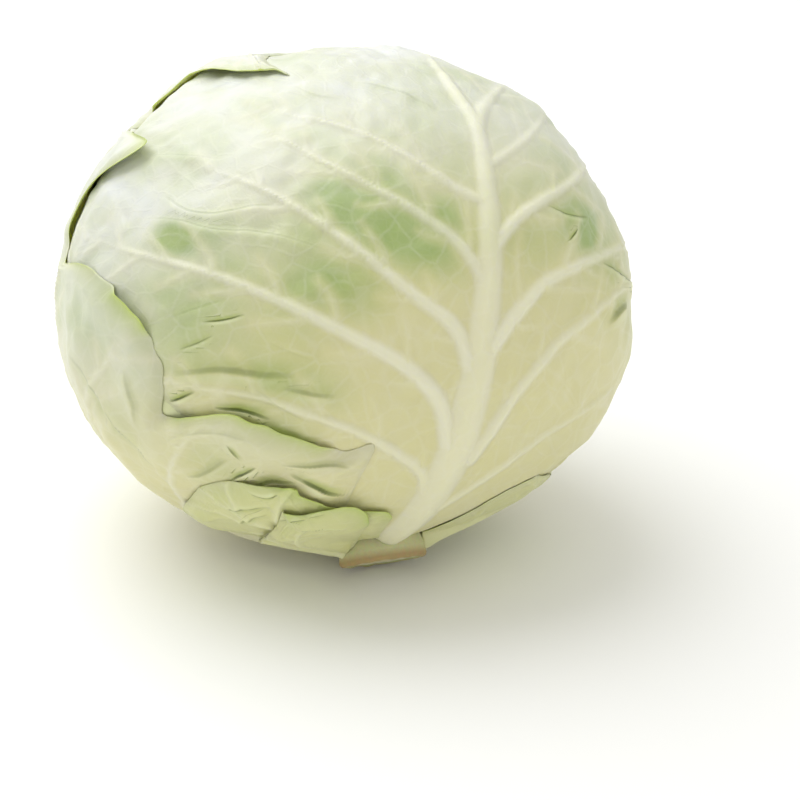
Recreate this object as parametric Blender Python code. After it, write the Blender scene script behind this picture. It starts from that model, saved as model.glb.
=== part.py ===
"""A head of white cabbage lying tilted on a small flat spot.

A ball of tightly packed inner leaves is wrapped by five whole outer leaves and by the
stubs of three more that were cut back. All of them grow from one stalk.
Metres, +Z up. The origin is the middle of the rest spot, on the surface it stands on.
"""

import math

import bmesh
import bpy
import numpy as np
from mathutils import Vector

# The head's form: a slightly flattened ball, measured to the outside of the front leaf.
HEAD_HALF_SIZE = Vector((0.0885, 0.0835, 0.0772))
REST_SPOT_RADIUS = 0.020

# The leaves lie over each other like onion skins, and each one has its own level.
LEAF_THICKNESS = 0.0009
LEAF_PITCH = 0.0018
BALL_LEVEL = -3
REST_LEVEL = 2
RIB_HEIGHT = 0.0014
RIB_HALF_WIDTH = 0.008

# Growth: the stalk points down and forward, and the front leaf's rib runs up from it.
STALK_AXIS = Vector((0.14, -0.51, -0.85)).normalized()
FRONT_RIB_HEADING = Vector((0.49, -0.71, 0.50))
STALK_RADIUS = 0.0135
STALK_FLARE = 0.8
STALK_END = 0.084
STALK_SIDES = 32
STALK_RIM_BEVEL = 0.0012

# A leaf is drawn flat, in metres across and along from a point on its rib that lies
# this far round from the stalk, and is then wrapped on the head.
LEAF_MIDDLE_ANGLE = math.radians(85)
WRAP_RADIUS = 0.084
TIP_ROUNDING = 0.35  # how far the tip's corners draw back, as a share of its half-width
EDGE_SPACING = 1.25  # over 1, the mesh lines crowd towards the rib

# One sagging spherical cap of the flat's radius sets how deep the ball is pressed flat.
REST_SINK = REST_SPOT_RADIUS**2 * HEAD_HALF_SIZE.z / (2 * HEAD_HALF_SIZE.x**2)
HEAD_CENTRE = Vector((0, 0, HEAD_HALF_SIZE.z + REST_LEVEL * LEAF_PITCH - REST_SINK))

# Whole leaves: heading of the rib round the stalk in degrees, level, then the outline
# as (along, width to the left of the rib, width to the right), in millimetres.
WHOLE_LEAVES = {
    "right_leaf": (90, -2, [(-108, 14, 14), (-85, 34, 34), (-50, 72, 72), (0, 112, 112),
                            (50, 116, 116), (95, 84, 84), (130, 40, 40)]),
    "rear_leaf": (-165, -1, [(-108, 14, 14), (-85, 34, 34), (-50, 72, 72), (0, 112, 108),
                             (50, 112, 112), (95, 84, 96), (135, 50, 60)]),
    "front_leaf": (0, 0, [(-108, 14, 14), (-85, 46, 36), (-50, 94, 78), (0, 138, 98),
                          (45, 148, 98), (90, 118, 78), (130, 64, 46)]),
    "left_leaf": (-137, 1, [(-108, 14, 36), (-90, 26, 60), (-70, 40, 80), (-45, 58, 94),
                            (-10, 84, 88), (30, 92, 62), (62, 84, 74), (95, 60, 62),
                            (120, 26, 30)]),
    "back_leaf": (165, 2, [(-108, 15, 14), (-85, 36, 32), (-50, 72, 62), (0, 100, 92),
                           (50, 98, 100), (105, 86, 86), (150, 70, 80), (185, 30, 42)]),
}
# Stubs of leaves that were cut back when the head was trimmed, in the same form.
TRIMMED_LEAVES = {
    "trimmed_leaf_right": (72, 1, [(-108, 12, 12), (-95, 24, 24), (-78, 32, 30), (-66, 18, 22)]),
    "trimmed_leaf_front": (-78, 2, [(-108, 14, 16), (-94, 30, 38), (-76, 44, 32), (-55, 30, 16)]),
    "trimmed_leaf_under": (-100, 3, [(-108, 12, 13), (-96, 20, 26), (-82, 20, 28), (-72, 10, 16)]),
}
# Only leaves that no other leaf lies over keep a raised rib.
RIBBED_LEAVES = ("front_leaf", "back_leaf")
WHOLE_LEAF_CELLS = (18, 18)
STUB_CELLS = (8, 5)

# Colours, linear: the blades from the greenest outside to the palest inside.
BALL_COLOUR = (0.72, 0.74, 0.45)
LEAF_COLOUR = (0.55, 0.62, 0.30)
STUB_COLOUR = (0.60, 0.66, 0.33)
STALK_COLOUR = (0.78, 0.74, 0.52)


def clear_scene():
    for old in list(bpy.data.objects):
        bpy.data.objects.remove(old)


def material(name, colour, roughness):
    made = bpy.data.materials.new(name)
    made.use_nodes = True
    shader = made.node_tree.nodes["Principled BSDF"]
    shader.inputs["Base Color"].default_value = (*colour, 1)
    shader.inputs["Roughness"].default_value = roughness
    shader.inputs["Metallic"].default_value = 0
    return made


def add_object(name, bm, finish):
    """Closes the bmesh into a named, smooth-shaded object with its faces pointing out."""
    bmesh.ops.recalc_face_normals(bm, faces=bm.faces)
    mesh = bpy.data.meshes.new(name)
    bm.to_mesh(mesh)
    bm.free()
    mesh.materials.append(finish)
    mesh.shade_smooth()
    mesh.set_sharp_from_angle(angle=math.radians(50))
    made = bpy.data.objects.new(name, mesh)
    bpy.context.scene.collection.objects.link(made)
    return made


def growth_axes():
    """Unit vectors of the plant: down the stalk, towards the front rib, and across it."""
    front = FRONT_RIB_HEADING - FRONT_RIB_HEADING.dot(STALK_AXIS) * STALK_AXIS
    front.normalize()
    return STALK_AXIS, front, front.cross(STALK_AXIS)


def leaf_direction(heading, across, along):
    """The direction from the head's centre of a point that is drawn flat on a leaf."""
    stalk, front, side = growth_axes()
    outward = math.cos(heading) * front + math.sin(heading) * side
    middle = math.cos(LEAF_MIDDLE_ANGLE) * stalk + math.sin(LEAF_MIDDLE_ANGLE) * outward
    to_tip = math.cos(LEAF_MIDDLE_ANGLE) * outward - math.sin(LEAF_MIDDLE_ANGLE) * stalk
    to_right = to_tip.cross(middle)
    reach = math.hypot(across, along)
    if reach == 0:
        return middle
    turn = reach / WRAP_RADIUS
    sideways = (across * to_right + along * to_tip) / reach
    return math.cos(turn) * middle + math.sin(turn) * sideways


def point_on_head(direction, level, rise):
    """The point at a level of leaves, raised by rise, with the rest spot pressed flat."""
    stretched = Vector(part / half for part, half in zip(direction, HEAD_HALF_SIZE))
    radius = 1 / stretched.length + level * LEAF_PITCH + rise
    point = HEAD_CENTRE + radius * direction
    flat_height = max(REST_LEVEL - level, 0) * LEAF_PITCH - min(rise, 0)
    point.z = max(point.z, flat_height)
    return point


def outline_width(outline, along, side):
    """Half the leaf's width at a distance along it, on a smooth curve through its outline."""
    stations = np.array([station[0] for station in outline]) / 1000
    widths = np.array([station[side] for station in outline]) / 1000
    slopes = np.gradient(widths, stations)
    last = len(stations) - 2
    here = min(max(int(np.searchsorted(stations, along)) - 1, 0), last)
    span = stations[here + 1] - stations[here]
    part = (along - stations[here]) / span
    rest = 1 - part
    ends = widths[here] * rest**2 * (1 + 2 * part) + widths[here + 1] * part**2 * (1 + 2 * rest)
    bends = span * part * rest * (slopes[here] * rest - slopes[here + 1] * part)
    return float(ends + bends)


def leaf(name, heading_degrees, level, outline, cells, rib_height, finish):
    """A thin closed leaf: a flat grid made thick, cut to the outline, wrapped on the head."""
    heading = math.radians(heading_degrees)
    foot = outline[0][0] / 1000
    length = outline[-1][0] / 1000 - foot
    rounding = TIP_ROUNDING * outline_width(outline, foot + length, 1)
    bm = bmesh.new()
    bmesh.ops.create_grid(bm, x_segments=cells[0], y_segments=cells[1], size=1)
    inside = list(bm.verts)
    grown = bmesh.ops.extrude_face_region(bm, geom=bm.faces[:])
    outside = [item for item in grown["geom"] if isinstance(item, bmesh.types.BMVert)]
    for layer, verts in ((0, inside), (1, outside)):
        for vert in verts:
            part_along = (vert.co.y + 1) / 2
            part_across = math.copysign(abs(vert.co.x) ** EDGE_SPACING, vert.co.x)
            along = foot + length * part_along
            across = part_across * outline_width(outline, along, 1 if part_across < 0 else 2)
            along -= rounding * part_along**2 * part_across**2
            rib = rib_height * math.exp(-((across / RIB_HALF_WIDTH) ** 2))
            rib *= math.sin(math.pi * part_along) ** 2
            rise = layer * rib - (1 - layer) * LEAF_THICKNESS
            vert.co = point_on_head(leaf_direction(heading, across, along), level, rise)
    return add_object(name, bm, finish)


def inner_head(finish):
    """The ball of packed inner leaves, pressed a little flat over the rest spot."""
    bm = bmesh.new()
    bmesh.ops.create_icosphere(bm, subdivisions=4, radius=1)
    for vert in bm.verts:
        vert.co = point_on_head(vert.co.normalized(), BALL_LEVEL, 0)
    return add_object("inner_head", bm, finish)


def stem_butt(finish):
    """The cut end of the stalk, flaring where it meets the ball."""
    ball_radius = (point_on_head(STALK_AXIS, BALL_LEVEL, 0) - HEAD_CENTRE).length
    foot = ball_radius + LEAF_THICKNESS
    bm = bmesh.new()
    bmesh.ops.create_cone(
        bm, cap_ends=True, segments=STALK_SIDES, depth=STALK_END - foot,
        radius1=STALK_RADIUS * STALK_FLARE, radius2=STALK_RADIUS,
    )
    end_face = max(bm.faces, key=lambda face: face.calc_center_median().z)
    bmesh.ops.bevel(
        bm, geom=end_face.edges[:], offset=STALK_RIM_BEVEL, offset_type="OFFSET", affect="EDGES",
        segments=2, profile=0.5, material=-1,
    )
    turn = STALK_AXIS.to_track_quat("Z", "Y").to_matrix()
    bmesh.ops.rotate(bm, verts=bm.verts, matrix=turn, cent=(0, 0, 0))
    bmesh.ops.translate(bm, verts=bm.verts, vec=HEAD_CENTRE + STALK_AXIS * (foot + STALK_END) / 2)
    return add_object("stem_butt", bm, finish)


clear_scene()
leaf_finish = material("cabbage_leaf", LEAF_COLOUR, 0.45)
stub_finish = material("trimmed_leaf", STUB_COLOUR, 0.5)
inner_head(material("packed_leaves", BALL_COLOUR, 0.5))
stem_butt(material("cut_stalk", STALK_COLOUR, 0.6))
for leaf_name, (heading, level, outline) in WHOLE_LEAVES.items():
    rib_height = RIB_HEIGHT if leaf_name in RIBBED_LEAVES else 0
    leaf(leaf_name, heading, level, outline, WHOLE_LEAF_CELLS, rib_height, leaf_finish)
for leaf_name, (heading, level, outline) in TRIMMED_LEAVES.items():
    leaf(leaf_name, heading, level, outline, STUB_CELLS, 0, stub_finish)
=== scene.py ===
"""The finish of a white cabbage head that lies tilted on a table, trimmed for sale.

Its wrapper leaves are laid on the ball of packed inner leaves one after another, from
the inside out, each one draped over whatever it meets. Metres, +Z up.
"""

import math

import bmesh
import bpy
import numpy as np
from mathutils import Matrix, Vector
from mathutils.bvhtree import BVHTree


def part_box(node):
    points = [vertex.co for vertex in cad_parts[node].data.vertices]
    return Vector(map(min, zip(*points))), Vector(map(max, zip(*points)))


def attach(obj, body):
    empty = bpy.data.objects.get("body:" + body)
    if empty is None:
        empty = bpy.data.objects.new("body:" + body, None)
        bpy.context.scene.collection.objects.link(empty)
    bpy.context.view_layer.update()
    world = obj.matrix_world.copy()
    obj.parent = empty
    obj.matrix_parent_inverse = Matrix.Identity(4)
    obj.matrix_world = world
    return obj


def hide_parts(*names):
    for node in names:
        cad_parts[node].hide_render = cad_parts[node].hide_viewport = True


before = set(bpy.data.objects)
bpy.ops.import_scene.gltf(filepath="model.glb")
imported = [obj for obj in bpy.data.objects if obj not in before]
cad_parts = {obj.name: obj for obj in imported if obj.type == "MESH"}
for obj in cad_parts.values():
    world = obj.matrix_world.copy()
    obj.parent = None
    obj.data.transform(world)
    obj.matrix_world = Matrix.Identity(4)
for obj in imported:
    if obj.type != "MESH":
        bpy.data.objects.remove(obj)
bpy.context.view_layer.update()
MM = 0.001

# ---- Inner head ----------------------------------------------------------------------
# Some forty inner leaves, pressed into one firm ball. They are blanched leaf tissue,
# held by the stalk they all grow from, and the wrapper leaves hide them.
BALL_SWELL = 1.6 * MM  # the wrappers lie closer here than in the frame, so the ball is larger
HEIGHT_SHARE = 0.888  # the ball's height against its width
CROWN_SWELL = 3.0 * MM
UNEVENNESS = 0.5 * MM
UNEVEN_SIZE = 0.7  # how long the unevenness is, as a share of the ball's radius
BALL_FLOOR = 2.6 * MM  # room under the ball for the leaves that it lies on
BROAD_SWELLINGS = (  # bulges and dents: direction, rise in mm and spread in degrees
    ((-0.95, -0.13, -0.28), 3.0, 22),
    ((0.96, -0.11, -0.24), 3.0, 22),
    ((-0.58, 0.34, 0.74), 1.8, 13),
    ((-0.82, 0.24, 0.52), -3.0, 11),
    ((-0.96, 0.12, 0.25), 1.6, 10),
    ((0.54, 0.36, 0.76), -1.8, 12),
    ((0.77, 0.27, 0.58), 1.6, 9),
    ((0.94, 0.15, 0.32), -3.0, 11),
    ((-0.87, -0.21, -0.45), -1.6, 12),
)

ball_low, ball_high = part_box("inner_head")
ball_half = (ball_high - ball_low) / 2
ball_half.x += BALL_SWELL
ball_half.y += BALL_SWELL
ball_half.z = HEIGHT_SHARE * ball_half.x
head_centre = (ball_low + ball_high) / 2
head_centre.z = ball_high.z + CROWN_SWELL - ball_half.z
stalk_low, stalk_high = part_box("stem_butt")
stalk_axis = ((stalk_low + stalk_high) / 2 - head_centre).normalized()


def linear(hex_colour):
    """An sRGB hex colour as linear red, green, blue and alpha."""
    parts = [int(hex_colour[i : i + 2], 16) / 255 for i in (1, 3, 5)]
    return [p / 12.92 if p < 0.04045 else ((p + 0.055) / 1.055) ** 2.4 for p in parts] + [1]


def add_node(tree, kind, settings=None, inputs=None):
    """A shader node with its settings, and its inputs as values or as linked outputs."""
    node = tree.nodes.new(kind)
    for name, value in (settings or {}).items():
        setattr(node, name, value)
    for name, value in (inputs or {}).items():
        if isinstance(value, bpy.types.NodeSocket):
            tree.links.new(value, node.inputs[name])
        else:
            node.inputs[name].default_value = value
    return node


def new_material(name):
    """An empty material with its output, ready for a shader."""
    made = bpy.data.materials.new(name)
    made.use_nodes = True
    made.node_tree.nodes.clear()
    return made, made.node_tree, made.node_tree.nodes.new("ShaderNodeOutputMaterial")


def smooth_share(value, start, end):
    """0 before start, 1 after end, and a smooth rise between them."""
    part = np.clip((value - start) / (end - start), 0, 1)
    return part * part * (3 - 2 * part)


def soft_noise(places, size, seed):
    """Smooth random hills of about this size, between -1 and 1, at rows of places."""
    count, hilltop = 28, 9  # so many waves are added up, and reach about this high together
    rng = np.random.default_rng(seed)
    waves = rng.normal(size=(count, places.shape[-1]))
    waves /= np.linalg.norm(waves, axis=1)[:, None]
    waves *= 2 * math.pi / (size * rng.uniform(0.7, 1.6, count))[:, None]
    hills = np.cos(places @ waves.T + rng.uniform(0, 2 * math.pi, count)).sum(-1)
    return np.clip(hills / hilltop, -1, 1)


def ball_radius(directions):
    """How far the ball reaches from the head's centre in each direction."""
    radius = 1 / np.linalg.norm(directions / np.array(ball_half), axis=-1)
    for direction, rise, spread in BROAD_SWELLINGS:
        towards = Vector(direction).normalized()
        turn = np.degrees(np.arccos(np.clip(directions @ np.array(towards), -1, 1)))
        radius = radius + rise * MM * np.exp(-((turn / spread) ** 2))
    return radius + UNEVENNESS * soft_noise(directions, UNEVEN_SIZE, 3)


def placed(directions, radius, floor):
    """The points at these distances from the head's centre, none of them below a floor."""
    points = np.array(head_centre) + directions * radius[..., None]
    points[..., 2] = np.maximum(points[..., 2], floor)
    return points


def add_piece(name, bm, points, material):
    """A named object from a bmesh whose vertices go to the given points."""
    mesh = bpy.data.meshes.new(name)
    bm.to_mesh(mesh)
    bm.free()
    mesh.vertices.foreach_set("co", points.astype(np.float32).ravel())
    mesh.update()
    mesh.shade_smooth()
    mesh.materials.append(material)
    piece = bpy.data.objects.new(name, mesh)
    bpy.context.scene.collection.objects.link(piece)
    faces = [face.vertices for face in mesh.polygons]
    laid.append(BVHTree.FromPolygons([tuple(point) for point in points], faces))
    return piece


laid = []  # every piece laid so far, for the next leaf to lie on

blanched, tree, out = new_material("blanched_leaf_tissue")
# Blanched tissue, grown without light: pale yellow-green, moist and faintly mottled, which
# gives a soft satin skin with no bright highlights.
mottle = add_node(tree, "ShaderNodeTexNoise", inputs={
    "Vector": add_node(tree, "ShaderNodeTexCoord").outputs["Object"], "Scale": 60, "Detail": 4})
tint = add_node(tree, "ShaderNodeMix", {"data_type": "RGBA"}, {
    0: mottle.outputs["Fac"], 6: linear("#dfe0b4"), 7: linear("#cdd49c")})
grain = add_node(tree, "ShaderNodeBump", inputs={
    "Strength": 0.3, "Distance": 0.4 * MM, "Height": mottle.outputs["Fac"]})
skin = add_node(tree, "ShaderNodeBsdfPrincipled", inputs={
    "Base Color": tint.outputs[2], "Roughness": 0.5, "IOR": 1.4,
    "Normal": grain.outputs["Normal"]})
tree.links.new(skin.outputs[0], out.inputs[0])

bm = bmesh.new()
bmesh.ops.create_icosphere(bm, subdivisions=6, radius=1)
around = np.array([v.co for v in bm.verts])
around /= np.linalg.norm(around, axis=1)[:, None]
ball = add_piece("packed_inner_leaves", bm, placed(around, ball_radius(around), BALL_FLOOR), blanched)
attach(ball, "root")
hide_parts("inner_head")

# ---- Cut stalk -----------------------------------------------------------------------
# The woody stem, sliced through with one knife cut: a greenish rind round moist cream
# pith. It swells where the leaf feet join it, and the cut face has dried a little.
STALK_RADIUS = 13.5 * MM
STALK_CUT = 84 * MM  # where the knife went through, from the head's centre
STALK_PROFILE = (  # up the side and over the cut: share of the radius, height from the cut in mm
    (0.86, -14), (0.93, -8), (1.00, -3.5), (1.02, -1.2), (1.00, -0.4), (0.96, 0.0),
    (0.91, 0.15), (0.86, -0.15), (0.80, -0.35), (0.68, -0.3), (0.52, -0.2), (0.36, -0.25),
    (0.20, -0.5), (0.08, -0.7),
)
STALK_SIDES = 96
OUT_OF_ROUND = 0.035
CUT_ROUGHNESS = 0.25 * MM
CUT_EDGE = -1.3  # the height in mm at which the rind ends and the dried rim starts
DRIED_RIM = 0.965  # where the rim lies on the way from the pith's middle out to the rind

cut_stalk, tree, out = new_material("sliced_cabbage_stalk")
# Sliced stem: matt cream pith with fine radial fibres, a greener ring of vessels near
# the rind, and a thin brown edge where the cut has dried.
ring = add_node(tree, "ShaderNodeAttribute", {"attribute_name": "ring"})
grain = add_node(tree, "ShaderNodeTexNoise", inputs={
    "Vector": add_node(tree, "ShaderNodeTexCoord").outputs["Object"], "Scale": 700, "Detail": 5,
    "Roughness": 0.65})
zones = add_node(tree, "ShaderNodeValToRGB", inputs={"Fac": ring.outputs["Fac"]})
ramp = zones.color_ramp
ramp.elements[0].color = linear("#dcd7ac")
for place, colour in ((0.45, "#e6e1bf"), (0.74, "#d6d8a2"), (0.84, "#c3ca8a"), (0.91, "#cbb98a"),
                      (DRIED_RIM, "#b39b69")):
    ramp.elements.new(place).color = linear(colour)
ramp.elements[-1].color = linear("#d3d2a0")
fibre = add_node(tree, "ShaderNodeMix", {"data_type": "RGBA", "blend_type": "MULTIPLY"}, {
    0: 0.35, 6: zones.outputs["Color"], 7: grain.outputs["Color"]})
pits = add_node(tree, "ShaderNodeBump", inputs={
    "Strength": 0.5, "Distance": 0.3 * MM, "Height": grain.outputs["Fac"]})
skin = add_node(tree, "ShaderNodeBsdfPrincipled", inputs={
    "Base Color": fibre.outputs[2], "Roughness": 0.62, "IOR": 1.4,
    "Subsurface Weight": 0.1, "Subsurface Radius": (0.004, 0.004, 0.002),
    "Normal": pits.outputs["Normal"]})
tree.links.new(skin.outputs[0], out.inputs[0])

bm = bmesh.new()
bmesh.ops.create_circle(bm, segments=STALK_SIDES, radius=1)
edges = bm.edges[:]
for step in range(1, len(STALK_PROFILE)):
    grown = bmesh.ops.extrude_edge_only(bm, edges=edges)["geom"]
    rim = [g for g in grown if isinstance(g, bmesh.types.BMVert)]
    edges = [g for g in grown if isinstance(g, bmesh.types.BMEdge) and set(g.verts) <= set(rim)]
    bmesh.ops.translate(bm, verts=rim, vec=(0, 0, 1))
bmesh.ops.contextual_create(bm, geom=edges)
bottom = [e for e in bm.edges if e.is_boundary]
bmesh.ops.contextual_create(bm, geom=bottom)
bmesh.ops.recalc_face_normals(bm, faces=bm.faces)
turned = np.array([v.co for v in bm.verts])
step = np.rint(turned[:, 2]).astype(int)
share, height = (np.array(column) for column in zip(*STALK_PROFILE))
bearing = np.arctan2(turned[:, 1], turned[:, 0])
circle = np.stack([np.cos(bearing), np.sin(bearing)], 1)
wobble = 1 + OUT_OF_ROUND * soft_noise(circle, 1.3, 21) * (share[step] > 0.5)
side_a = stalk_axis.orthogonal().normalized()
side_b = stalk_axis.cross(side_a)
rough_cut = soft_noise(circle * share[step][:, None], 0.35, 22) * (height[step] > -1)
points = (
    np.array(head_centre)
    + np.outer(STALK_CUT + height[step] * MM + CUT_ROUGHNESS * rough_cut, stalk_axis)
    + (STALK_RADIUS * share[step] * wobble * circle[:, 0])[:, None] * np.array(side_a)
    + (STALK_RADIUS * share[step] * wobble * circle[:, 1])[:, None] * np.array(side_b)
)
stalk = add_piece("cut_stalk", bm, points, cut_stalk)
ring_place = np.where(height[step] > CUT_EDGE, np.minimum(share[step], DRIED_RIM), 1)
stalk.data.attributes.new("ring", "FLOAT", "POINT").data.foreach_set(
    "value", ring_place.astype(np.float32))
laid.pop()  # leaf feet grow into the stalk, so none is draped over it
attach(stalk, "root")
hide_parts("stem_butt")

# ---- Right leaf ----------------------------------------------------------------------
# The first wrapper leaf over the ball, on its right and back. Each wrapper is one thin
# living blade on a thick white rib, rooted at the stalk and moulded to what it lies on.
WRAP_RADIUS = 84 * MM  # a leaf is drawn flat and then wrapped on a ball of this radius
RIB_MIDDLE = math.radians(85)  # how far round from the stalk the drawing's middle lies
FRONT_HEADING = Vector((0.49, -0.71, 0.50))  # where the front leaf's rib faces
BLADE = 0.65 * MM
CLEARANCE = 0.2 * MM
PRESSED_CLEARANCE = 0.4  # the share of it that is left under a pressed margin
RIB_LEAST = 5  # a vein this wide at its foot, in mm, is the rib itself
RIB_SIDE = (11 * MM, 18 * MM)  # where the foot ends and the open blade starts, from the rib
MARGIN_WAVES = ((16 * MM, 1.2 * MM), (6 * MM, 0.5 * MM))  # how long and how deep
MARGIN_LIFT = 4 * MM  # how far in from the margin the blade comes off what it lies on
MARGIN_PRESS = 5 * MM  # how far in a margin that doesn't lift is pressed down
MARGIN_TAPER = 12 * MM  # how far in the blade has its full thickness
MARGIN_THIN = 0.25  # the share of the thickness that is left at the margin
PUCKERS = ((26 * MM, 1.0), (9 * MM, 0.45))  # how large the pillows between veins are, and how high
STIFF_FOOT = (20 * MM, 70 * MM)  # nearer the foot than this the blade is too stiff to pucker
TISSUE_CLOUDS = ((45 * MM, 1.0), (15 * MM, 0.5))  # how large and how strong the shades of green are

front_axis = (FRONT_HEADING - FRONT_HEADING.dot(stalk_axis) * stalk_axis).normalized()
side_axis = front_axis.cross(stalk_axis)


def wrapped(heading, flat):
    """Directions from the head's centre of points drawn flat, as across and along the rib."""
    turn = math.radians(heading)
    outward = math.cos(turn) * front_axis + math.sin(turn) * side_axis
    middle = math.cos(RIB_MIDDLE) * stalk_axis + math.sin(RIB_MIDDLE) * outward
    to_tip = math.cos(RIB_MIDDLE) * outward - math.sin(RIB_MIDDLE) * stalk_axis
    to_right = to_tip.cross(middle)
    reach = np.linalg.norm(flat, axis=-1, keepdims=True) + 1e-9
    sideways = (flat[..., :1] * np.array(to_right) + flat[..., 1:] * np.array(to_tip)) / reach
    return np.cos(reach / WRAP_RADIUS) * np.array(middle) + np.sin(reach / WRAP_RADIUS) * sideways


def smooth_curve(stations, values, at):
    """Values on a smooth curve through the ones that are given at stations."""
    stations, values = np.array(stations, float), np.array(values, float)
    slopes = np.gradient(values, stations, axis=0)
    here = np.clip(np.searchsorted(stations, at) - 1, 0, len(stations) - 2)
    shape = (-1,) + (1,) * (values.ndim - 1)
    span = (stations[here + 1] - stations[here]).reshape(shape)
    part = (at - stations[here]).reshape(shape) / span
    rest = 1 - part
    ends = values[here] * rest**2 * (1 + 2 * part) + values[here + 1] * part**2 * (1 + 2 * rest)
    return ends + span * part * rest * (slopes[here] * rest - slopes[here + 1] * part)


def walked_along(line):
    """How far along a line each of its points lies."""
    steps = np.linalg.norm(np.diff(line, axis=0), axis=1)
    return np.concatenate([[0], np.cumsum(steps)])


def line_through(places, count=32):
    """A smooth line through a few places that are given in millimetres."""
    places = np.array(places, float) * MM
    walked = walked_along(places)
    return smooth_curve(walked, places, np.linspace(0, walked[-1], count))


def nearest_on(line, flat, reach):
    """For the points within reach of a line: which they are, how far off, how far along it,
    and on which side of it."""
    near = np.flatnonzero(((flat > line.min(0) - reach) & (flat < line.max(0) + reach)).all(1))
    runs, ahead = np.diff(line, axis=0), np.gradient(line, axis=0)
    offset = flat[near, None] - line[:-1]
    part = np.clip((offset * runs).sum(-1) / (runs**2).sum(-1), 0, 1)
    gap = offset - part[..., None] * runs
    away = np.linalg.norm(gap, axis=-1)
    rows, best = np.arange(len(near)), away.argmin(1)
    here = part[rows, best][:, None]
    facing = (1 - here) * ahead[best] + here * ahead[best + 1]
    side = facing[:, 0] * gap[rows, best, 1] - facing[:, 1] * gap[rows, best, 0]
    return near, away[rows, best], (best + here[:, 0]) / len(runs), np.sign(side)


def side_veins(outline, counts, seed):
    """Main veins that leave the rib on both sides and bend towards the tip."""
    path = ((0, 0), (0.18, 0.30), (0.55, 0.70), (1, 0.95))  # shares of the way out and of the climb
    lowest, room = 0.10, 0.74  # where along the rib the first vein leaves it, and the rest follow
    rng = np.random.default_rng(seed)
    stations = [s[0] for s in outline]
    foot, tip = stations[0], stations[-1]
    veins = []
    for side, count in zip((-1, 1), counts):
        widths = [s[1 if side < 0 else 2] for s in outline]
        for share in (np.arange(count) + 0.5 + rng.uniform(-0.2, 0.2, count)) / count:
            start = foot + (tip - foot) * (lowest + room * share)
            reach = 0.96 * max(10, float(smooth_curve(stations, widths, np.array([start]))[0]))
            slope = math.tan(math.radians(16 + 42 * share + rng.uniform(-4, 4)))
            places = [(side * out * reach, start + climb * reach * slope) for out, climb in path]
            width, height = 2.8 - 1.0 * share, 1.0 - 0.35 * share
            veins.append((line_through(places), width, 0.9, height, 0.85))
    return veins


def branches(veins, seed, spacing=11 * MM):
    """Finer veins that leave the main ones on alternate sides."""
    narrower, lower, fainter = 0.45, 0.28, 0.45  # than the vein that they leave
    steps, points = 4, 14
    rng = np.random.default_rng(seed)
    finer = []
    for line, wide, _, high, white in veins:
        walked = walked_along(line)
        at, side = spacing * rng.uniform(0.8, 1.2), rng.choice((-1, 1))
        while at < walked[-1] * 0.97:
            start = smooth_curve(walked, line, np.array([at]))[0]
            ahead = smooth_curve(walked, line, np.array([min(at + MM, walked[-1])]))[0] - start
            turn = side * math.radians(rng.uniform(34, 58))
            length = rng.uniform(9, 24) * MM
            bend = -0.35 * turn
            places, here, heading = [start], start, math.atan2(ahead[1], ahead[0]) + turn
            for _ in range(steps):
                here = here + length / steps * np.array([math.cos(heading), math.sin(heading)])
                heading += bend / 3 + rng.uniform(-0.12, 0.12)
                places.append(here)
            finer.append((line_through(np.array(places) / MM, points), min(narrower * wide, 1.5), 0.5,
                          lower * high, fainter * white))
            at += spacing * rng.uniform(0.6, 1.3)
            side = -side
    return finer


def wrinkles(outline, count, seed):
    """Shallow folds strewn over a leaf, which run roughly the way its side veins do."""
    rng = np.random.default_rng(seed)
    stations = [s[0] for s in outline]
    strewn = []
    for side in rng.choice((-1, 1), count):
        along = rng.uniform(stations[0] + 25, stations[-1] - 10)
        widths = [s[1 if side < 0 else 2] for s in outline]
        reach = smooth_curve(stations, widths, np.array([along]))[0]
        start = np.array([side * max(8, rng.uniform(0.15, 0.85) * reach), along])
        heading = math.radians(rng.uniform(5, 55))
        end = start + rng.uniform(12, 30) * np.array([side * math.cos(heading), math.sin(heading)])
        middle = (start + end) / 2 + rng.uniform(-2.5, 2.5, 2)
        places = (start, middle, end) if rng.random() < 0.5 else (end, middle, start)
        rise, fading, tone = rng.uniform(0.4, 0.9), rng.uniform(4, 9), rng.uniform(0, 0.15)
        strewn.append((places, rise, fading, tone, 1.0))
    return strewn


def veined(flat, veins):
    """How high the veins stand over the blade, how far inside the nearest one's outline each
    point lies, in mm, and how white that vein is."""
    outskirts = 4  # how far outside a vein, in mm, a point still counts as near it
    taper, lowering = 1.5, 0.7  # how soon a vein narrows along its length, and loses height with that
    height = np.zeros(len(flat))
    inside, white = np.full(len(flat), -float(outskirts)), np.zeros(len(flat))
    for line, wide, thin, high, pale in veins:
        near, away, along, _ = nearest_on(line, flat, (wide + outskirts) * MM)
        half = (thin + (wide - thin) * (1 - along) ** taper) * MM
        fading = 1 - smooth_share(along, 0.75, 1)
        shape = np.clip(1 - (away / half) ** 2, 0, 1) ** 2 * fading
        height[near] = np.maximum(height[near], high * MM * shape * (half / (wide * MM)) ** lowering)
        within = (half * (0.3 + 0.7 * fading) - away) / MM
        closer = within > inside[near]
        inside[near[closer]] = within[closer]
        white[near[closer]] = (pale * (1 - 0.3 * along) * (0.2 + 0.8 * fading))[closer]
    return height, inside, white


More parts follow.
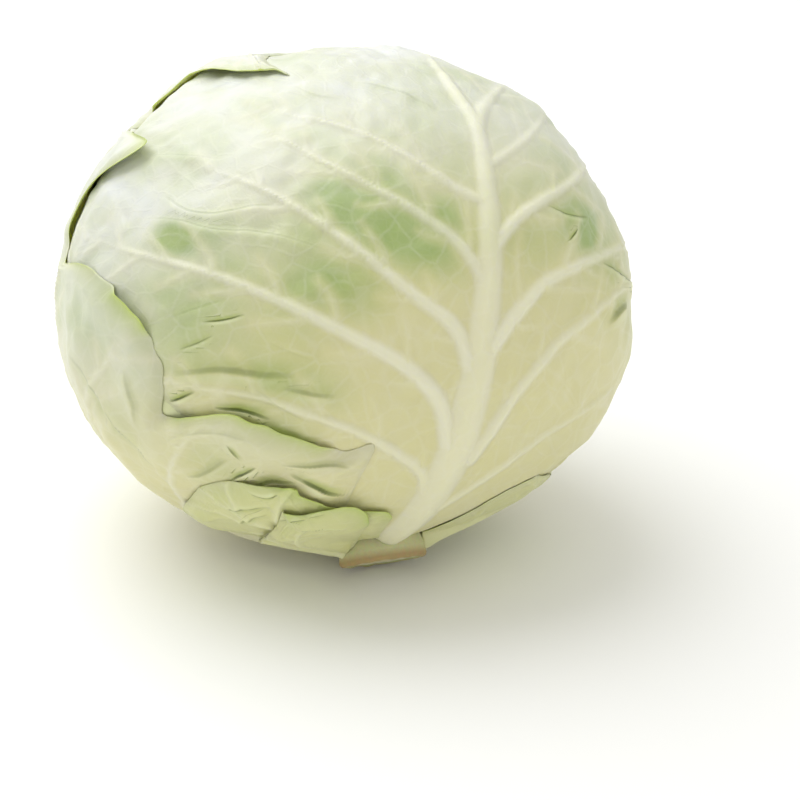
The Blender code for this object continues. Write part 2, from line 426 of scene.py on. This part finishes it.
def folded(flat, folds):
    """The rise beside each fold of the blade, how far each point lies on its raised side, as
    a share of its width, and how strongly painted shade darkens that fold there."""
    far = 9.0
    rise, dark = np.zeros(len(flat)), np.zeros(len(flat))
    beyond, second = np.full(len(flat), -far), np.full(len(flat), far)
    for places, high, reach, tone, wide in folds:
        line = line_through(places)
        near, away, along, side = nearest_on(line, flat, 4 * reach * MM)
        ends = np.sin(np.pi * np.clip(along, 0, 1)) ** 0.7
        over = smooth_share(side * away, -1.1 * MM, 0.9 * MM)
        rise[near] += high * MM * ends * over * np.exp(-away / (reach * MM))
        share = side * away / (wide * MM)
        closer = abs(share) < abs(beyond[near])
        second[near] = np.where(closer, abs(beyond[near]), np.minimum(second[near], abs(share)))
        beyond[near[closer]] = share[closer]
        dark[near[closer]] = (tone * ends * (1 - smooth_share(abs(share), 1.9, 3.2)))[closer]
    # Half way between two folds the nearest one changes, so neither shows there.
    return rise, beyond, dark * smooth_share(second - abs(beyond), 0.2, 1.2)


def spread(field, times):
    """The largest value within this many cells."""
    for _ in range(times):
        padded = np.pad(field, 1, mode="edge")
        rows = np.maximum(np.maximum(padded[:-2], padded[2:]), padded[1:-1])
        field = np.maximum(np.maximum(rows[:, :-2], rows[:, 2:]), rows[:, 1:-1])
    return field


def soften(field, times):
    """The field blurred over its neighbouring cells, again and again."""
    for _ in range(times):
        padded = np.pad(field, 1, mode="edge")
        rows = (padded[:-2] + 2 * padded[1:-1] + padded[2:]) / 4
        field = (rows[:, :-2] + 2 * rows[:, 1:-1] + rows[:, 2:]) / 4
    return field


def lying_on(directions):
    """How far out the pieces that are already laid reach in each direction."""
    far, reach = 130 * MM, np.zeros(len(directions))
    for row, direction in enumerate(map(Vector, directions)):
        start = head_centre + far * direction
        for shell in laid:
            distance = shell.ray_cast(start, -direction, far)[3]
            if distance is not None:
                reach[row] = max(reach[row], far - distance)
    return reach


def lay_leaf(name, heading, outline, cells, veins, material, seed, rib=(7.5, 3.2), lift=0.15,
             curl=(), folds=(), patches=(), pucker=0.6, greens=(92, 138), bloom_and_highlight_reach=(105, 190),
             rounding=10):
    """A closed leaf, drawn flat, wrapped on the head and draped over what is already laid.

    outline has the half-widths left and right of the rib at stations along it, in mm; rib is
    the rib's half-width and height at its foot; lift is how far the margin stands off; curl
    adds to that between two stations on one side; folds are lines where the blade steps up,
    with painted shade along them, and patches are places of greener tissue with their spread.
    pucker is how high the blade swells between its veins, and greens and
    bloom_and_highlight_reach say how far from the foot the green and the whitish wax come in;
    that whitish wax is also painted paler as a highlight towards the crown. rounding is how
    far the tip's corners draw back.
    """
    columns, rows = cells
    bm = bmesh.new()
    bmesh.ops.create_grid(bm, x_segments=columns, y_segments=rows, size=1)
    grown = bmesh.ops.extrude_face_region(bm, geom=bm.faces[:])["geom"]
    raised = [g for g in grown if isinstance(g, bmesh.types.BMVert)]
    bmesh.ops.translate(bm, verts=raised, vec=(0, 0, 1))
    bmesh.ops.recalc_face_normals(bm, faces=bm.faces)
    cube = np.array([v.co for v in bm.verts])
    column = np.rint((cube[:, 0] + 1) / 2 * columns).astype(int)
    row = np.rint((cube[:, 1] + 1) / 2 * rows).astype(int)
    outer = cube[:, 2] > 0.5

    share_across = np.linspace(-1, 1, columns + 1)[None, :]
    share_along = np.linspace(0, 1, rows + 1)[:, None]
    stations = [s[0] for s in outline]
    foot, length = stations[0] * MM, (stations[-1] - stations[0]) * MM
    along = foot + length * share_along[:, 0]
    left = smooth_curve(stations, [s[1] for s in outline], along / MM) * MM
    right = smooth_curve(stations, [s[2] for s in outline], along / MM) * MM
    edge = np.stack([along, np.zeros(rows + 1)], 1)
    for number, (size, depth) in enumerate(MARGIN_WAVES):
        left += depth * soft_noise(edge, size, seed + number)
        right += depth * soft_noise(edge, size, seed + number + 2)
    width = (left + right)[:, None]
    across = width * (share_across + 1) / 2 - left[:, None]
    along = along[:, None] - rounding * MM * share_along**3 * share_across**2
    grid = np.stack([across, np.broadcast_to(along, across.shape)], -1)
    flat = grid.reshape(-1, 2)
    from_foot = np.linalg.norm(flat - (0, foot), axis=1)

    # The blade is thin at the margin, and stands a little off what it lies on there.
    to_margin = np.minimum((1 - abs(share_across)) * width / 2, (1 - share_along) * length)
    beside_rib = smooth_share(abs(across), *RIB_SIDE)
    to_margin = np.minimum(to_margin, share_along * length + (1 - beside_rib) * length).ravel()
    loose = lift * (0.55 + 0.45 * soft_noise(flat, 22 * MM, seed + 4))
    at = flat[:, 1] / MM
    on_side = np.sign(np.broadcast_to(share_across, across.shape).ravel())
    for side, start, end, more in curl:
        here = smooth_share(at, start - 4, start + 3) * (1 - smooth_share(at, end - 3, end + 4))
        loose = loose + more * here * (on_side == side)
    stands_off = loose * MM * np.exp(-to_margin / MARGIN_LIFT)
    thickness = BLADE * (MARGIN_THIN + (1 - MARGIN_THIN) * smooth_share(to_margin, 0, MARGIN_TAPER))

    # The rib is broad and thick at its foot, and it thins to nothing at the tip.
    rib_line = line_through([(0, stations[0]), (0, stations[-1])])
    ribs = [v for v in veins if v[1] >= RIB_LEAST] or [(rib_line, rib[0], 1.2, rib[1], 0.8)]
    height, in_vein, white = veined(flat, ribs + [v for v in veins if v[1] < RIB_LEAST])
    pillows = sum(high * soft_noise(flat, size, seed + 5 + number)
                  for number, (size, high) in enumerate(PUCKERS))
    puckered = pucker * MM * (1.2 + pillows) * smooth_share(from_foot, *STIFF_FOOT)
    # dark is how strongly painted shade darkens each fold.
    rise, in_fold, dark = folded(flat, folds)

    # The bed is a smooth skin over what lies below; a pressed margin follows it exactly.
    directions = wrapped(heading, flat)
    under = lying_on(directions).reshape(grid.shape[:2])
    bed = soften(np.maximum(soften(spread(under, 3), 24), under), 3).ravel()
    pressed = np.exp(-to_margin / MARGIN_PRESS) * (1 - np.clip(loose, 0, 1))
    bed = bed + (soften(under, 1).ravel() - bed) * pressed
    bed = bed + CLEARANCE * (1 - (1 - PRESSED_CLEARANCE) * pressed)
    relief = puckered * smooth_share(to_margin, 0, MARGIN_TAPER)
    relief = relief + rise * smooth_share(to_margin, -4 * MM, 6 * MM)
    inside = bed + stands_off + relief
    outside = inside + thickness + height
    pick = row * (columns + 1) + column
    reach = np.where(outer, outside[pick], inside[pick])
    floor = np.where(outer, 0.0, BLADE)
    leaf = add_piece(name, bm, placed(directions[pick], reach, floor), material)

    # Tissue is greener where it saw more light and less so beside a vein. Near the tip it turns
    # whitish: partly the wax bloom, partly a painted highlight where the light falls on the crown.
    cloudy = sum(strength * soft_noise(flat, size, seed + 7 + number)
                 for number, (size, strength) in enumerate(TISSUE_CLOUDS))
    patched = sum((amount * np.exp(-(np.linalg.norm(flat / MM - place, axis=1) / size) ** 2)
                   for place, size, amount in patches), np.zeros(len(flat)))
    green = smooth_share(from_foot / MM, *greens) * (0.45 + 0.25 * cloudy) + patched
    green = green * (1 - 0.5 * smooth_share(in_vein, -3.5, 0.5))
    # Whitish wax bloom and painted highlight together, towards the tip on the crown.
    bloom_and_highlight = smooth_share(from_foot / MM, *bloom_and_highlight_reach) * (0.72 - 0.22 * cloudy)
    bloom_and_highlight *= (1 - 0.8 * np.clip(patched, 0, 1)) * smooth_share(to_margin, -5 * MM, 12 * MM)
    # Painted light: a margin that stands off gets a yellow-green edge, as if lit through its thin tissue.
    rim = np.exp(-to_margin / (3 * MM)) * np.clip(loose, 0, 1)
    # Painted highlight: a pale line along a margin that is pressed flat.
    pressed_rim_highlight = 0.25 * np.exp(-to_margin / (1.5 * MM)) * (1 - np.clip(loose, 0, 1))
    fields = {"in_vein": in_vein, "white": white, "in_fold": in_fold, "dark": dark,
              "green": np.clip(green, 0, 1), "bloom_and_highlight": bloom_and_highlight, "margin": rim, "pressed": pressed_rim_highlight}
    for field, values in fields.items():
        stored = leaf.data.attributes.new(field, "FLOAT", "POINT")
        stored.data.foreach_set("value", values[pick].astype(np.float32))
    drawn = np.concatenate([flat[pick], np.zeros((len(pick), 1))], 1)
    stored = leaf.data.attributes.new("drawn", "FLOAT_VECTOR", "POINT")
    stored.data.foreach_set("vector", drawn.astype(np.float32).ravel())
    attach(leaf, "root")
    return leaf


def leaf_tissue(name, young, grown, shaded, crease_shade_colour, rib_colour):
    """A leaf's material, from its colours at the foot and in the light, with painted shade in its folds."""
    made, tree, out = new_material(name)
    # Living cabbage leaf: watery, slightly see-through tissue under a thin skin of wax. It
    # has a satin gloss and soft light inside. Towards the tip its colour turns whitish: the wax
    # bloom there is painted paler still, as a highlight where the light falls on the crown.
    share = {key: add_node(tree, "ShaderNodeAttribute", {"attribute_name": key}).outputs["Fac"]
             for key in ("in_vein", "white", "in_fold", "dark", "green", "bloom_and_highlight", "margin", "pressed")}
    drawn = add_node(tree, "ShaderNodeAttribute", {"attribute_name": "drawn"}).outputs["Vector"]
    clouds = add_node(tree, "ShaderNodeTexNoise", inputs={"Vector": drawn, "Scale": 45, "Detail": 5})
    pores = add_node(tree, "ShaderNodeTexNoise", inputs={"Vector": drawn, "Scale": 900, "Detail": 3})
    warp = add_node(tree, "ShaderNodeVectorMath", {"operation": "MULTIPLY_ADD"}, {
        0: clouds.outputs["Color"], 1: (8 * MM, 8 * MM, 0), 2: drawn})
    # The net between the side veins has meshes of about 8 mm, with 3 mm ones inside them.
    coarse, fine = (add_node(tree, "ShaderNodeTexVoronoi", {"feature": "DISTANCE_TO_EDGE"}, {
        "Vector": warp.outputs["Vector"], "Scale": scale}) for scale in (120, 330))
    off_fold = add_node(tree, "ShaderNodeMath", {"operation": "ABSOLUTE"}, {0: share["in_fold"]})
    for key, value, start, end, low, high in (
        ("coarse_net", coarse.outputs["Distance"], 0, 0.10, 1, 0),
        ("fine_net", fine.outputs["Distance"], 0, 0.16, 0.35, 0),
        ("vein_body", share["in_vein"], -0.9, 1.6, 0, 1),
        ("at_fold", off_fold.outputs[0], 0.1, 0.6, 1, 0),
        ("below_fold", share["in_fold"], -2.8, -0.2, 0, 1),
        ("not_over_fold", share["in_fold"], 0, 0.7, 1, 0),
        ("over_fold", share["in_fold"], 0.4, 1.1, 0, 1),
        ("near_over_fold", share["in_fold"], 1.1, 2.6, 1, 0),
        ("mottle", clouds.outputs["Fac"], 0.35, 0.7, 0, 0.18),
        ("roughness", clouds.outputs["Fac"], 0, 1, 0.34, 0.52),
    ):
        share[key] = add_node(tree, "ShaderNodeMapRange", {"interpolation_type": "SMOOTHSTEP"}, {
            "Value": value, "From Min": start, "From Max": end, "To Min": low,
            "To Max": high}).outputs["Result"]
    for key, operation, first, second in (
        ("net", "ADD", "coarse_net", "fine_net"),
        ("vein", "MULTIPLY", "vein_body", "white"),
        # Painted shade: a dark line along each fold's crease.
        ("crease_shade", "MULTIPLY", "at_fold", "dark"),
        # Painted shade on the low side of each fold.
        ("fold_shade", "MULTIPLY", "below_fold", "not_over_fold"),
        ("fold_shade", "MULTIPLY", "fold_shade", "dark"),
        # Painted highlight along the raised side of each fold.
        ("fold_ridge_highlight", "MULTIPLY", "over_fold", "near_over_fold"),
        ("fold_ridge_highlight", "MULTIPLY", "fold_ridge_highlight", "dark"),
    ):
        share[key] = add_node(tree, "ShaderNodeMath", {"operation": operation}, {
            0: share[first], 1: share[second]}).outputs[0]

    colour = linear(young)
    for key, most, tint in (
        # whitish wax bloom with a painted highlight on the crown
        ("green", 1, grown), ("bloom_and_highlight", 1, "#dde2d8"), ("mottle", 1, "#dad9b4"),
        # painted highlight: a pale line along a pressed margin
        ("net", 0.10, rib_colour), ("vein", 0.62, rib_colour), ("pressed", 1, rib_colour),
        # painted light: yellow-green along a lifted margin, shade on a fold's low side, a highlight on its
        # raised side
        ("margin", 1, "#b0c460"), ("fold_shade", 0.8, shaded), ("fold_ridge_highlight", 0.45, "#e6eebc"),
        # painted shade: the dark line in each fold's crease
        ("crease_shade", 0.85, crease_shade_colour),
    ):
        shown = add_node(tree, "ShaderNodeMath", {"operation": "MULTIPLY"}, {0: share[key], 1: most})
        colour = add_node(tree, "ShaderNodeMix", {"data_type": "RGBA"}, {
            0: shown.outputs[0], 6: colour, 7: linear(tint)}).outputs[2]

    relief = 0.0
    for source, rise in ((pores.outputs["Fac"], 0.4), (share["net"], 0.4), (share["vein"], 4.0),
                         (share["crease_shade"], -4.0)):
        relief = add_node(tree, "ShaderNodeMath", {"operation": "MULTIPLY_ADD"}, {
            0: source, 1: rise, 2: relief}).outputs[0]
    skin_relief = add_node(tree, "ShaderNodeBump", inputs={
        "Strength": 0.8, "Distance": 0.12 * MM, "Height": relief})
    skin = add_node(tree, "ShaderNodeBsdfPrincipled", inputs={
        "Base Color": colour, "Roughness": share["roughness"], "IOR": 1.45,
        "Subsurface Weight": 0.25, "Subsurface Radius": (3.2 * MM, 3.6 * MM, 1.2 * MM),
        "Subsurface Scale": 1.0, "Sheen Weight": 0.06, "Sheen Roughness": 0.4,
        "Coat Weight": 0.16, "Coat Roughness": 0.3, "Coat IOR": 1.45,
        "Normal": skin_relief.outputs["Normal"]})
    tree.links.new(skin.outputs[0], out.inputs[0])
    return made


RIGHT_OUTLINE = [(-112, 13, 13), (-85, 34, 34), (-50, 74, 74), (0, 112, 112), (50, 116, 116),
                 (95, 84, 84), (128, 40, 40), (136, 20, 20)]
main_veins = side_veins(RIGHT_OUTLINE, (7, 7), 31)
right_leaf = lay_leaf(
    "right_leaf_blade", 90, RIGHT_OUTLINE, (150, 160), main_veins + branches(main_veins, 32),
    leaf_tissue("pale_leaf", "#dbd69c", "#93ab58", "#96a83c", "#3d4a0a", "#ecebd8"), 300,
    folds=wrinkles(RIGHT_OUTLINE, 14, 33))
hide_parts("right_leaf")

# ---- Rear leaf -----------------------------------------------------------------------
# The wrapper at the back left, the same living blade and rib as the right leaf. It is
# rooted at the stalk, tucked under the outer leaves, and its tip lies on the crown.
REAR_OUTLINE = [(-112, 13, 13), (-85, 34, 34), (-50, 74, 74), (0, 112, 108), (50, 112, 112),
                (95, 84, 96), (130, 50, 62), (140, 26, 34)]
main_veins = side_veins(REAR_OUTLINE, (7, 7), 41)
rear_leaf = lay_leaf(
    "rear_leaf_blade", -165, REAR_OUTLINE, (150, 160), main_veins + branches(main_veins, 42),
    bpy.data.materials["pale_leaf"], 400, folds=wrinkles(REAR_OUTLINE, 14, 43))
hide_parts("rear_leaf")

# ---- Front leaf ----------------------------------------------------------------------
# The great leaf that faces forward. Its flat white rib runs up from the stalk, forks near
# the crown, and sends long veins round the left shoulder of the head.
FRONT_OUTLINE = [(-112, 13, 13), (-85, 46, 36), (-50, 94, 78), (0, 138, 98), (45, 148, 98),
                 (90, 118, 78), (125, 70, 50), (138, 34, 26)]
front_rib = [
    (line_through([(-5, -116), (-5, -80), (-4, -50), (-2, -27), (1, -8), (5, 15), (9, 32), (13, 48),
                   (14, 63), (19, 80), (29, 98), (38, 118)], 60), 10.0, 1.0, 2.6, 0.8),
    (line_through([(13, 46), (17, 51), (26, 58), (40, 67), (56, 76)]), 3.0, 1.0, 1.0, 0.6),
]
front_veins = [(line_through(places), wide, 0.8, high, pale) for places, wide, high, pale in (
    ([(5, 18), (-3, 23), (-16, 36), (-35, 53), (-46, 60), (-60, 74)], 2.0, 0.5, 0.7),
    ([(1, -8), (-8, 7), (-21, 19), (-33, 29), (-54, 51), (-66, 66)], 2.4, 0.8, 0.8),
    ([(-4, -34), (-11, -18), (-22, -9), (-37, 6), (-59, 28), (-84, 50)], 3.1, 1.1, 0.95),
    ([(-8, -56), (-13, -42), (-22, -32), (-42, -19), (-75, 1), (-110, 20), (-136, 38)], 3.4, 1.3, 1.0),
    ([(-8, -82), (-13, -68), (-27, -57), (-51, -45), (-74, -37), (-98, -32), (-118, -20)], 3.0, 1.0, 0.8),
    ([(9, 30), (22, 36), (40, 46), (62, 60)], 1.7, 0.5, 0.7),
    ([(4, 4), (13, 12), (23, 17), (38, 23), (58, 32), (86, 44)], 2.5, 1.3, 1.0),
    ([(0, -26), (13, -13), (21, -7), (34, -2), (60, 4), (92, 12)], 3.2, 1.3, 0.95),
    ([(2, -62), (12, -40), (26, -25), (49, -12), (70, -6), (94, -2)], 3.2, 1.0, 0.8),
    ([(0, -88), (14, -70), (34, -54), (58, -42), (76, -34)], 2.8, 0.8, 0.7),
)]
front_folds = [  # places, step up on their left, how far it reaches, how dark its painted shade is, how wide
    ([(-60, 25), (-67, 26), (-78, 26), (-86, 29), (-96, 40)], 1.3, 9, 0.25, 1.2),
    ([(-46, 7), (-57, 13), (-67, 17), (-79, 20), (-91, 27), (-105, 33)], 1.2, 8, 0.15, 1.0),
    ([(-111, 29), (-114, 38), (-117, 56)], 1.0, 6, 0.0, 1.0),
    ([(-73, -10), (-79, -11), (-86, -11)], 0.8, 6, 0.9, 0.7),
    ([(-83, -16), (-88, -18), (-95, -20)], 0.7, 6, 0.5, 0.8),
    ([(-58, -31), (-70, -30), (-79, -28), (-98, -29)], 1.4, 8, 0.45, 2.4),
    ([(-91, -36), (-95, -38), (-102, -41)], 1.2, 4, 1.0, 1.0),
    ([(-66, -46), (-74, -43), (-84, -42)], 1.2, 5, 1.0, 1.2),
    ([(-50, -55), (-60, -52), (-71, -47)], 1.2, 5, 1.0, 1.3),
    ([(-73, 48), (-82, 53), (-90, 58), (-99, 63)], 0.9, 8, 0.1, 1.0),
    ([(-20, 74), (-11, 68), (2, 54)], 0.8, 7, 0.1, 1.0),
    ([(-45, 59), (-34, 50), (-26, 44)], 0.7, 6, 0.0, 1.0),
    ([(44, 13), (34, 13), (26, 16)], 1.3, 6, 0.6, 0.9),
    ([(36, 9), (31, 5)], 0.8, 3, 0.9, 0.45),
    ([(74, -9), (69, -7), (56, -4), (47, -1)], 2.2, 6, 1.0, 1.0),
    ([(63, -13), (56, -15), (49, -19)], 1.6, 4, 0.5, 2.0),
    ([(-46, -38), (-53, -37), (-62, -35)], 1.0, 6, 0.35, 1.6),
    ([(-78, -4), (-88, -6), (-97, -8)], 0.8, 7, 0.15, 1.2),
]
front_patches = (  # place in mm, spread in mm, how much greener
    ((-46, 23), 8, 0.5), ((-42, 29), 7, 0.3), ((-37, 17), 9, 0.45), ((-29, 12), 9, 0.5), ((-21, 7), 9, 0.5),
    ((-12, 4), 8, 0.35), ((-21, 19), 7, 0.4), ((-11, 14), 7, 0.45), ((-29, 24), 7, 0.3),
    ((-57, 0), 10, 0.15), ((-48, -3), 10, 0.35), ((-39, -7), 10, 0.25), ((-58, -12), 8, 0.2),
    ((-96, 22), 6, 1.0), ((-90, 19), 6, 0.8), ((-81, 17), 6, 0.4), ((43, 8), 9, 0.8),
    ((38, 33), 11, 0.4), ((33, 16), 8, 0.2), ((-70, -32), 9, 0.45), ((-58, -34), 9, 0.4),
    ((-48, -37), 8, 0.25), ((-84, -2), 12, 0.2), ((-70, -50), 8, 0.5), ((-60, -54), 8, 0.4),
)
front_leaf = lay_leaf(
    "front_leaf_blade", 0, FRONT_OUTLINE, (210, 210),
    front_rib + front_veins + branches(front_rib[1:] + front_veins, 52),
    bpy.data.materials["pale_leaf"], 500, folds=front_folds + wrinkles(FRONT_OUTLINE, 14, 53),
    patches=front_patches)
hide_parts("front_leaf")

# ---- Left leaf -----------------------------------------------------------------------
# A torn wrapper on the lower left. Its wrinkled margin lies over the front leaf and
# stands off it a little, and above a deep tear its upper lobe hugs the left shoulder.
LEFT_OUTLINE = [(-112, 13, 60), (-106, 15, 98), (-94, 24, 102), (-76, 38, 105), (-60, 48, 103),
                (-50, 56, 99), (-43, 62, 88), (-37, 66, 76), (-30, 70, 86), (-18, 78, 93),
                (-4, 84, 92), (7, 88, 86), (17, 90, 76), (24, 92, 66), (29, 92, 46), (35, 92, 42),
                (43, 90, 50), (53, 88, 60), (61, 84, 78), (67, 82, 82), (73, 80, 66), (82, 74, 40),
                (96, 58, 34), (116, 28, 26), (122, 14, 14)]
left_folds = [
    ([(51, -3), (55, -9), (56, -20), (53, -36), (49, -48)], 1.0, 7, 0.3, 2.0),
    ([(85, -73), (80, -72), (71, -70)], 1.4, 5, 1.0, 0.9),
    ([(84, -67), (88, -60)], 0.9, 4, 0.6, 0.9),
    ([(96, -65), (92, -56), (79, -47), (70, -45)], 1.0, 6, 0.1, 1.0),
    ([(85, -88), (79, -80), (72, -78)], 1.2, 5, 0.7, 2.0),
    ([(66, 27), (77, 18), (82, 12)], 0.8, 5, 0.1, 1.0),
    ([(80, -64), (70, -62), (60, -58)], 1.3, 6, 0.25, 1.4),
    ([(97, -100), (96, -90), (91, -79)], 1.2, 5, 0.4, 1.2),
    ([(78, -92), (67, -87), (57, -79)], 1.4, 6, 0.3, 1.6),
    ([(64, -34), (72, -28), (76, -18)], 1.0, 6, 0.15, 1.2),
    ([(79, -106), (82, -100), (86, -91), (88, -84)], 1.2, 5, 0.9, 1.8),
]
main_veins = side_veins(LEFT_OUTLINE, (6, 6), 61)
left_leaf = lay_leaf(
    "left_leaf_blade", -137, LEFT_OUTLINE, (170, 180), main_veins + branches(main_veins, 62),
    bpy.data.materials["pale_leaf"], 600, lift=0.05, pucker=0.8, bloom_and_highlight_reach=(70, 165),
    folds=left_folds + wrinkles(LEFT_OUTLINE, 12, 63),
    patches=(((66, 2), 12, 0.35), ((74, -62), 14, 0.3), ((56, -30), 12, 0.25)),
    curl=((1, -88, -64, 0.8), (1, -62, -42, 1.6), (1, -9, 7, 1.3), (1, 20, 27, 0.7), (1, 36, 70, 1.4)))
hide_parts("left_leaf")

# ---- Back leaf -----------------------------------------------------------------------
# The outermost whole leaf, which the head lies on. Its tip comes over the crown from
# behind and curls off it along the top left.
BACK_OUTLINE = [(-112, 13, 13), (-85, 36, 34), (-50, 72, 64), (0, 100, 94), (50, 100, 102),
                (97, 92, 96), (110, 84, 87), (125, 56, 83), (140, 8, 81), (150, -26, 80),
                (160, -44, 78), (168, -54, 73), (175, -57, 66), (181, -58, 60)]
main_veins = side_veins(BACK_OUTLINE, (7, 7), 71)
back_leaf = lay_leaf(
    "back_leaf_blade", 165, BACK_OUTLINE, (150, 190), main_veins + branches(main_veins, 72),
    bpy.data.materials["pale_leaf"], 700, curl=((1, 108, 176, 1.5),), rounding=3,
    folds=wrinkles(BACK_OUTLINE, 14, 73))
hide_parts("back_leaf")

# ---- Trimmed leaves ------------------------------------------------------------------
# Stubs of three coarse outer leaves that were cut back round the stalk with a knife. They
# are older and greener than the wrappers, creased, and ragged at their ends.
trimmed_tissue = leaf_tissue("trimmed_leaf", "#d4d594", "#a9bb6c", "#8fa234", "#4a4a10", "#e2e2bc")
stub_creases = {  # places, step up on their left, how far it reaches, how dark its painted shade is, how wide
    "trimmed_leaf_right": [],
    "trimmed_leaf_front": [
        ([(12, -61), (19, -63), (26, -62), (31, -65)], 1.5, 4, 0.9, 0.9),
        ([(-5, -64), (5, -66), (14, -68)], 1.2, 4, 0.5, 1.0),
        ([(-14, -75), (-2, -71), (9, -71)], 1.0, 4, 0.4, 1.0),
    ],
    "trimmed_leaf_under": [
        ([(34, -84), (39, -88), (41, -95)], 1.4, 3, 0.9, 0.7),
        ([(31, -78), (40, -79), (48, -83)], 1.2, 4, 0.6, 0.9),
        ([(14, -84), (22, -88), (26, -95)], 1.0, 4, 0.5, 0.8),
    ],
}
TRIMMED = (  # node, heading, outline, where its right margin stands off
    ("trimmed_leaf_right", 72, [(-111, 12, 12), (-98, 24, 24), (-80, 33, 30), (-68, 26, 27),
                                (-62, 12, 16)], (-90, -60)),
    ("trimmed_leaf_front", -78, [(-111, 14, 18), (-96, 30, 40), (-80, 42, 34), (-66, 44, 28),
                                 (-58, 34, 25), (-54, 18, 14)], (-98, -58)),
    ("trimmed_leaf_under", -100, [(-111, 12, 18), (-100, 18, 46), (-90, 18, 55), (-83, 12, 54),
                                  (-79, -18, 50), (-75, -33, 44)], (-100, -74)),
)
for seed, (node, heading, outline, (start, end)) in zip((80, 82, 84), TRIMMED):
    main_veins = side_veins(outline, (3, 3), seed)
    stub = lay_leaf(
        node + "_blade", heading, outline, (90, 70),
        main_veins + branches(main_veins, seed + 1, 7 * MM), trimmed_tissue, seed * 10,
        rib=(6.5, 2.6), lift=0.35, curl=((1, start, end, 0.8),), pucker=1.3,
        folds=stub_creases[node] + wrinkles(outline, 7, seed + 2), greens=(30, 90), rounding=4)
    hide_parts(node)

# ---- Studio --------------------------------------------------------------------------
# A plain white table in a white room, with one broad soft light overhead, a weaker one
# behind and the weakest in front. A long lens looks down at the head from in front.
TABLE_HALF_SIZE = 6
TABLE_GAP = 0.2 * MM  # how far the table lies under the head, so that no face shares its plane

table_top, tree, out = new_material("white_table")
# White matt lacquer: rough and evenly bright, so it shows the head's soft shadow and no glare.
skin = add_node(tree, "ShaderNodeBsdfPrincipled", inputs={
    "Base Color": linear("#f6f6f4"), "Roughness": 0.9, "Specular IOR Level": 0.1})
tree.links.new(skin.outputs[0], out.inputs[0])
bm = bmesh.new()
bmesh.ops.create_grid(bm, x_segments=1, y_segments=1, size=TABLE_HALF_SIZE)
bmesh.ops.translate(bm, verts=bm.verts, vec=(0, 0, -TABLE_GAP))
mesh = bpy.data.meshes.new("table_top")
bm.to_mesh(mesh)
bm.free()
mesh.materials.append(table_top)
table = bpy.data.objects.new("table_top", mesh)
bpy.context.scene.collection.objects.link(table)

ROOM_LIGHT = 0.72  # how bright the white room is all round
LIGHTS = (  # name, place, size in metres, watts
    ("overhead_softbox", (-0.38, 0.22, 1.0), 1.1, 8),
    ("back_softbox", (-0.5, 1.2, 0.6), 1.0, 2),
    ("front_softbox", (0.8, -1.0, 0.5), 0.8, 1),
)
for name, place, size, watts in LIGHTS:
    lamp = bpy.data.lights.new(name, "AREA")
    lamp.shape = "DISK"
    lamp.size = size
    lamp.energy = watts
    light = bpy.data.objects.new(name, lamp)
    light.location = place
    light.rotation_euler = (head_centre - Vector(place)).to_track_quat("-Z", "Y").to_euler()
    bpy.context.scene.collection.objects.link(light)

world = bpy.data.worlds.new("white_studio")
world.use_nodes = True
world.node_tree.nodes["Background"].inputs["Color"].default_value = (1, 1, 1, 1)
world.node_tree.nodes["Background"].inputs["Strength"].default_value = ROOM_LIGHT
bpy.context.scene.world = world
bpy.context.scene.view_settings.view_transform = "Standard"

CAMERA_PITCH = math.radians(25)  # how far down it looks
CAMERA_REACH = 700 * MM  # from the lens to the head's centre, along the line of sight
CAMERA_OFFSET = (17.3 * MM, -32.3 * MM)  # the sight line passes right of and below the centre
lens = bpy.data.cameras.new("long_lens")
lens.lens = 100
lens.sensor_width = 36
camera = bpy.data.objects.new("long_lens", lens)
sight = Vector((0, math.cos(CAMERA_PITCH), -math.sin(CAMERA_PITCH)))
upward = Vector((0, math.sin(CAMERA_PITCH), math.cos(CAMERA_PITCH)))
camera.location = (head_centre - CAMERA_REACH * sight + CAMERA_OFFSET[0] * Vector((1, 0, 0))
                   + CAMERA_OFFSET[1] * upward)
camera.rotation_euler = (math.pi / 2 - CAMERA_PITCH, 0, 0)
bpy.context.scene.collection.objects.link(camera)
bpy.context.scene.camera = camera
